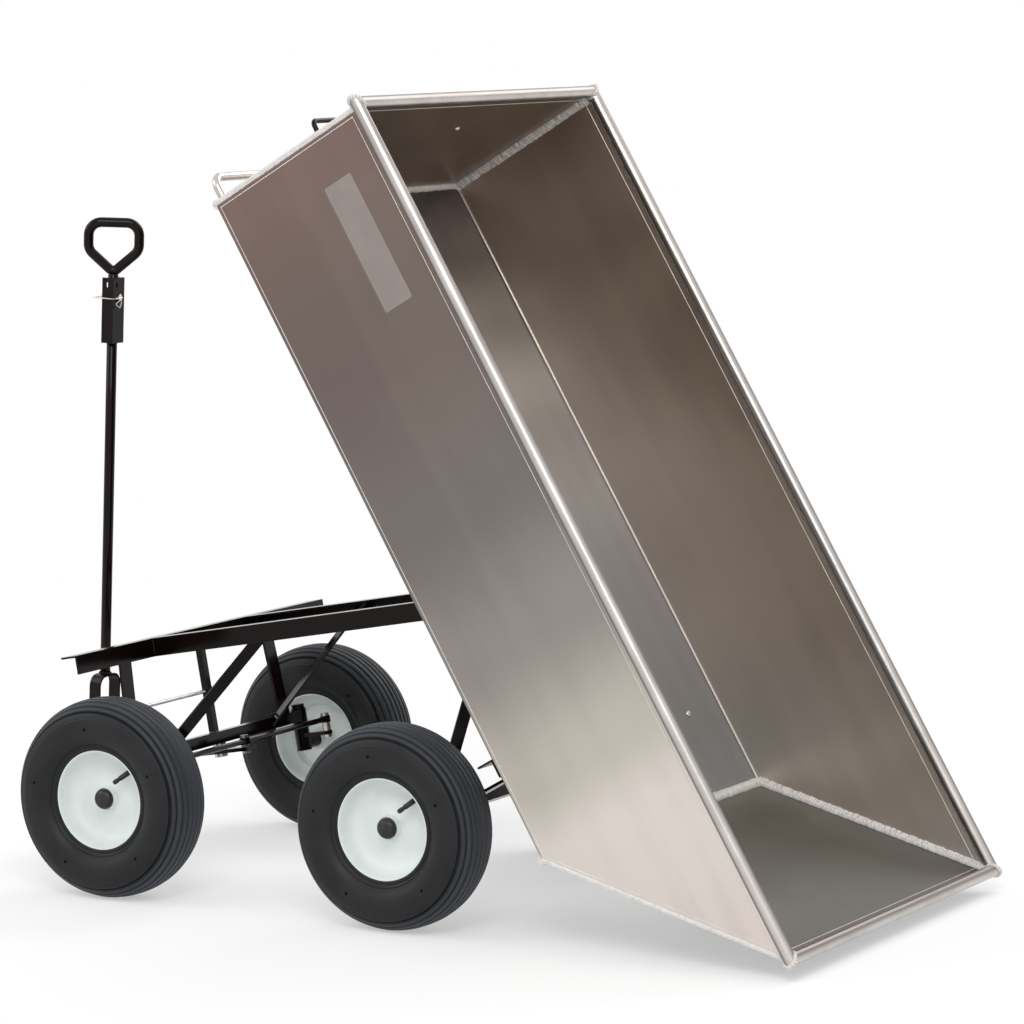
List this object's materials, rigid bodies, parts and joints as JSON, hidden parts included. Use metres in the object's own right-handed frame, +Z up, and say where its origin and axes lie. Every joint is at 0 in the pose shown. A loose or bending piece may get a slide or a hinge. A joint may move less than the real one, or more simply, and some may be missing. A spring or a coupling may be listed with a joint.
{
  "type": "utility wagon",
  "caption": "Four-wheel garden dump wagon: sheet tub with a sloped rear wall on an articulated steel frame, with tongue steering and an upright pull handle.",
  "frame": {"origin": "centre of the bounding box on the ground", "axes": "+X to the rear, -Y to the wagon's left side, +Z up"},
  "size_m": [1.8908, 0.958, 1.622],
  "materials": {
    "black_powder_coat": "gloss black powder coat",
    "black_rubber": "moulded black",
    "bright_aluminium": "bright drawn tube",
    "mill_aluminium": "satin mill sheet",
    "tyre_rubber": "matt ribbed rubber",
    "white_rim_enamel": "white enamel",
    "zinc_plate": "zinc plated"
  },
  "bodies": {
    "front_frame": {"front_crossbar": "black_powder_coat", "left_rail": "black_powder_coat", "right_rail": "black_powder_coat", "rail_tie": "black_powder_coat", "hinge_rod": "zinc_plate", "left_front_leg": "black_powder_coat", "right_front_leg": "black_powder_coat", "front_axle_beam": "black_powder_coat", "centre_post": "black_powder_coat", "stay_rod": "zinc_plate", "left_front_brace": "black_powder_coat", "right_front_brace": "black_powder_coat", "tongue_pin": "zinc_plate"},
    "tongue": {"tongue": "black_powder_coat", "tongue_tie_bolt": "zinc_plate"},
    "left_knuckle": {"left_knuckle": "black_powder_coat", "left_tie_bolt": "zinc_plate"},
    "right_knuckle": {"right_knuckle": "black_powder_coat", "right_tie_bolt": "zinc_plate"},
    "tie_rod": {"tie_rod": "black_powder_coat"},
    "handle": {"yoke": "black_powder_coat", "yoke_bolt": "zinc_plate", "handle_shaft": "black_powder_coat", "hitch_clevis": "black_powder_coat", "grip": "black_powder_coat", "hitch_pin": "zinc_plate", "hitch_pin_clip": "zinc_plate"},
    "tub": {"tub_pan": "mill_aluminium", "front_panel": "mill_aluminium", "rear_panel": "mill_aluminium", "left_rim_tube": "bright_aluminium", "right_rim_tube": "bright_aluminium", "front_rim_tube": "bright_aluminium", "rear_rim_tube": "bright_aluminium", "lift_handle": "bright_aluminium", "tie_loop": "black_powder_coat", "rear_axle": "black_powder_coat", "rear_crossbar": "black_powder_coat", "left_rear_leg": "black_powder_coat", "right_rear_leg": "black_powder_coat", "left_tub_rail": "black_powder_coat", "right_tub_rail": "black_powder_coat", "left_rear_brace": "black_powder_coat", "right_rear_brace": "black_powder_coat"},
    "front_left_wheel": {"front_left_tyre": "tyre_rubber", "front_left_rim": "white_rim_enamel", "front_left_hub_cap": "black_rubber", "front_left_valve_stem": "black_rubber"},
    "front_right_wheel": {"front_right_tyre": "tyre_rubber", "front_right_rim": "white_rim_enamel", "front_right_hub_cap": "black_rubber", "front_right_valve_stem": "black_rubber"},
    "rear_left_wheel": {"rear_left_tyre": "tyre_rubber", "rear_left_rim": "white_rim_enamel", "rear_left_hub_cap": "black_rubber", "rear_left_valve_stem": "black_rubber"},
    "rear_right_wheel": {"rear_right_tyre": "tyre_rubber", "rear_right_rim": "white_rim_enamel", "rear_right_hub_cap": "black_rubber", "rear_right_valve_stem": "black_rubber"}
  },
  "joints": [
    {"name": "tub_tip", "type": "hinge", "parent": "front_frame", "child": "tub", "pos_m": [0.11875, 0, 0.61598], "axis": [0, 1, 0], "range_deg": [-69.9, 0]},
    {"name": "tongue_steer", "type": "hinge", "parent": "front_frame", "child": "tongue", "pos_m": [-0.62522, 0, 0.20121], "axis": [-0.1783, 0, 0.984], "range_deg": [-25, 25]},
    {"name": "left_steer", "type": "hinge", "parent": "front_frame", "child": "left_knuckle", "pos_m": [-0.62522, -0.3165, 0.20121], "axis": [-0.1783, 0, 0.984], "range_deg": [-25, 25]},
    {"name": "right_steer", "type": "hinge", "parent": "front_frame", "child": "right_knuckle", "pos_m": [-0.62522, 0.3165, 0.20121], "axis": [-0.1783, 0, 0.984], "range_deg": [-25, 25]},
    {"name": "tie_rod_swing", "type": "hinge", "parent": "left_knuckle", "child": "tie_rod", "pos_m": [-0.56928, -0.3165, 0.25707], "axis": [-0.1783, 0, 0.984], "range_deg": [-25, 25]},
    {"name": "handle_pitch", "type": "hinge", "parent": "tongue", "child": "handle", "pos_m": [-0.93167, 0, 0.17618], "axis": [0, 1, 0], "range_deg": [-80, 0]},
    {"name": "front_left_spin", "type": "hinge", "parent": "left_knuckle", "child": "front_left_wheel", "pos_m": [-0.62522, -0.4065, 0.20121], "axis": [0, 1, 0], "continuous": true},
    {"name": "front_right_spin", "type": "hinge", "parent": "right_knuckle", "child": "front_right_wheel", "pos_m": [-0.62522, 0.4065, 0.20121], "axis": [0, 1, 0], "continuous": true},
    {"name": "rear_left_spin", "type": "hinge", "parent": "tub", "child": "rear_left_wheel", "pos_m": [0.04249, -0.4065, 0.20121], "axis": [0, 1, 0], "continuous": true},
    {"name": "rear_right_spin", "type": "hinge", "parent": "tub", "child": "rear_right_wheel", "pos_m": [0.04249, 0.4065, 0.20121], "axis": [0, 1, 0], "continuous": true}
  ],
  "couplings": [
    {"joint": "left_steer", "follows": "tongue_steer", "ratio": 1},
    {"joint": "right_steer", "follows": "tongue_steer", "ratio": 1},
    {"joint": "tie_rod_swing", "follows": "tongue_steer", "ratio": -1}
  ]
}
